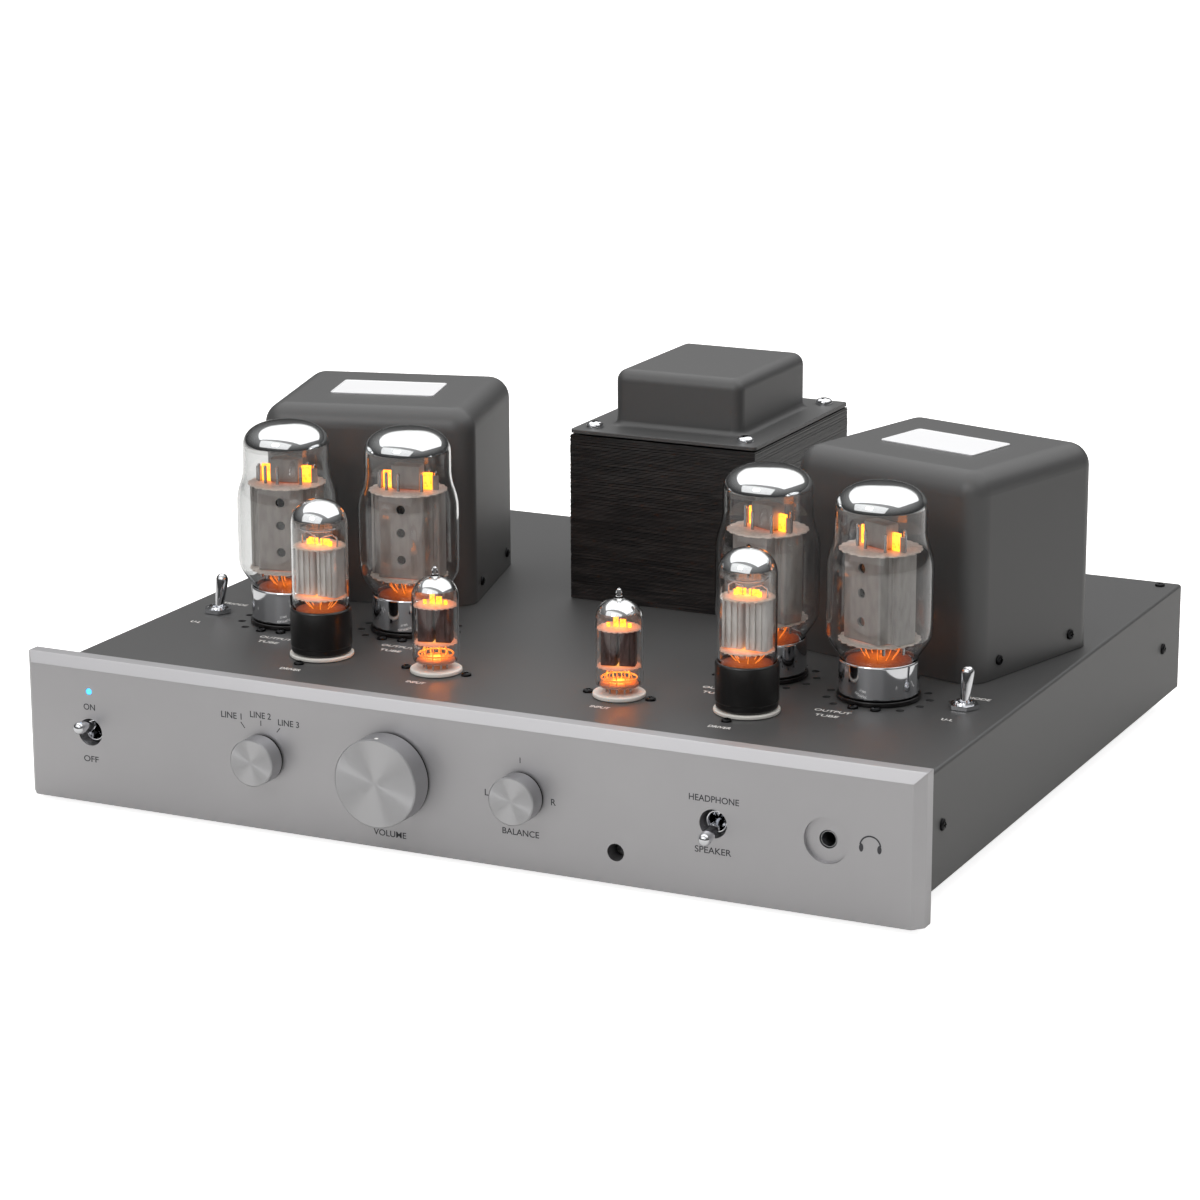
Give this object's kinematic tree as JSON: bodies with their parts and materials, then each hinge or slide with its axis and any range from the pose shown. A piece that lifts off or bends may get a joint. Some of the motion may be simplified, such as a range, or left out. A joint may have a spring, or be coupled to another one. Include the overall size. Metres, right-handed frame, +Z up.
{
  "type": "tube amplifier",
  "caption": "Integrated tube audio amplifier: silver front panel with knobs, toggles and headphone socket, black chassis carrying glass tubes and covered transformers.",
  "frame": {"origin": "centre of the bounding box at the level of the four feet's soles, where the amplifier stands on a table", "axes": "+X to the right as seen by someone facing the front panel, +Y from the front panel to the rear connectors, +Z up"},
  "size_m": [0.4572, 0.4136, 0.1813],
  "materials": {
    "panel_aluminium": "bead-blasted and clear anodised, satin",
    "knob_aluminium": "turned face with concentric tool lines, clear anodised",
    "black_powder_coat": "fine-textured satin black powder coat on steel",
    "lamination_steel": "black-lacquered edges of stacked laminations",
    "potting_pitch": "set potting pitch",
    "rubber": "moulded, matt",
    "tube_glass": "clear blown glass with a mirror getter patch in the dome",
    "base_chrome": "polished metal band",
    "base_phenolic": "moulded phenolic, semi-gloss",
    "electrode_nickel": "grey carbonised nickel plates",
    "white_ceramic": "steatite ceramic, fine matt",
    "switch_chrome": "bright chrome plate",
    "led_lens": "lit blue lens",
    "terminal_plastic": "insulated binding posts",
    "jack_brass": "gold-flashed phono shells",
    "black_plastic": "moulded, matt"
  },
  "bodies": {
    "amplifier_body": {"chassis_top": "black_powder_coat", "chassis_side_left": "black_powder_coat", "chassis_side_right": "black_powder_coat", "chassis_rear": "black_powder_coat", "bottom_cover": "black_powder_coat", "front_panel": "panel_aluminium", "foot_front_left": "rubber", "foot_rear_left": "rubber", "foot_front_right": "rubber", "foot_rear_right": "rubber", "power_transformer_core": "lamination_steel", "power_transformer_bell": "black_powder_coat", "output_transformer_left": "potting_pitch", "output_transformer_cover_left": "black_powder_coat", "output_transformer_right": "potting_pitch", "output_transformer_cover_right": "black_powder_coat", "power_tube_1_socket": "base_phenolic", "power_tube_1_base": "base_chrome", "power_tube_1_envelope": "tube_glass", "power_tube_2_socket": "base_phenolic", "power_tube_2_base": "base_chrome", "power_tube_2_envelope": "tube_glass", "power_tube_3_socket": "base_phenolic", "power_tube_3_base": "base_chrome", "power_tube_3_envelope": "tube_glass", "power_tube_4_socket": "base_phenolic", "power_tube_4_base": "base_chrome", "power_tube_4_envelope": "tube_glass", "driver_tube_1_socket": "white_ceramic", "driver_tube_1_base": "base_phenolic", "driver_tube_1_envelope": "tube_glass", "driver_tube_2_socket": "white_ceramic", "driver_tube_2_base": "base_phenolic", "driver_tube_2_envelope": "tube_glass", "input_tube_1_socket": "white_ceramic", "input_tube_1_stem": "electrode_nickel", "input_tube_1_envelope": "tube_glass", "input_tube_2_socket": "white_ceramic", "input_tube_2_stem": "electrode_nickel", "input_tube_2_envelope": "tube_glass", "power_switch_case": "switch_chrome", "headphone_switch_case": "switch_chrome", "mode_switch_left_case": "switch_chrome", "mode_switch_right_case": "switch_chrome", "selector_switch": "black_plastic", "volume_potentiometer": "black_plastic", "balance_potentiometer": "black_plastic", "headphone_jack": "black_plastic", "power_led": "led_lens", "remote_sensor": "black_plastic", "mains_inlet": "black_plastic", "speaker_terminals": "terminal_plastic", "input_jacks": "jack_brass"},
    "power_switch_lever": {"power_switch_lever": "switch_chrome"},
    "headphone_switch_lever": {"headphone_switch_lever": "switch_chrome"},
    "mode_switch_left_lever": {"mode_switch_left_lever": "switch_chrome"},
    "mode_switch_right_lever": {"mode_switch_right_lever": "switch_chrome"},
    "selector_knob": {"selector_knob": "knob_aluminium"},
    "volume_knob": {"volume_knob": "knob_aluminium"},
    "balance_knob": {"balance_knob": "knob_aluminium"}
  },
  "joints": [
    {"name": "power_switch_throw", "type": "hinge", "parent": "amplifier_body", "child": "power_switch_lever", "pos_m": [-0.192, -0.1824, 0.038], "axis": [1, 0, 0], "range_deg": [0, 26]},
    {"name": "headphone_switch_throw", "type": "hinge", "parent": "amplifier_body", "child": "headphone_switch_lever", "pos_m": [0.131, -0.1824, 0.038], "axis": [-1, 0, 0], "range_deg": [0, 26]},
    {"name": "mode_switch_left_throw", "type": "hinge", "parent": "amplifier_body", "child": "mode_switch_left_lever", "pos_m": [-0.1988, -0.0653, 0.0614], "axis": [1, 0, 0], "range_deg": [0, 26]},
    {"name": "mode_switch_right_throw", "type": "hinge", "parent": "amplifier_body", "child": "mode_switch_right_lever", "pos_m": [0.1988, -0.0653, 0.0614], "axis": [1, 0, 0], "range_deg": [0, 26]},
    {"name": "selector_turn", "type": "hinge", "parent": "amplifier_body", "child": "selector_knob", "pos_m": [-0.0975, -0.1932, 0.038], "axis": [0, 1, 0], "range_deg": [-36, 36]},
    {"name": "volume_turn", "type": "hinge", "parent": "amplifier_body", "child": "volume_knob", "pos_m": [-0.0306, -0.1932, 0.038], "axis": [0, 1, 0], "range_deg": [-150, 150]},
    {"name": "balance_turn", "type": "hinge", "parent": "amplifier_body", "child": "balance_knob", "pos_m": [0.0368, -0.1932, 0.038], "axis": [0, 1, 0], "range_deg": [-150, 150]}
  ]
}
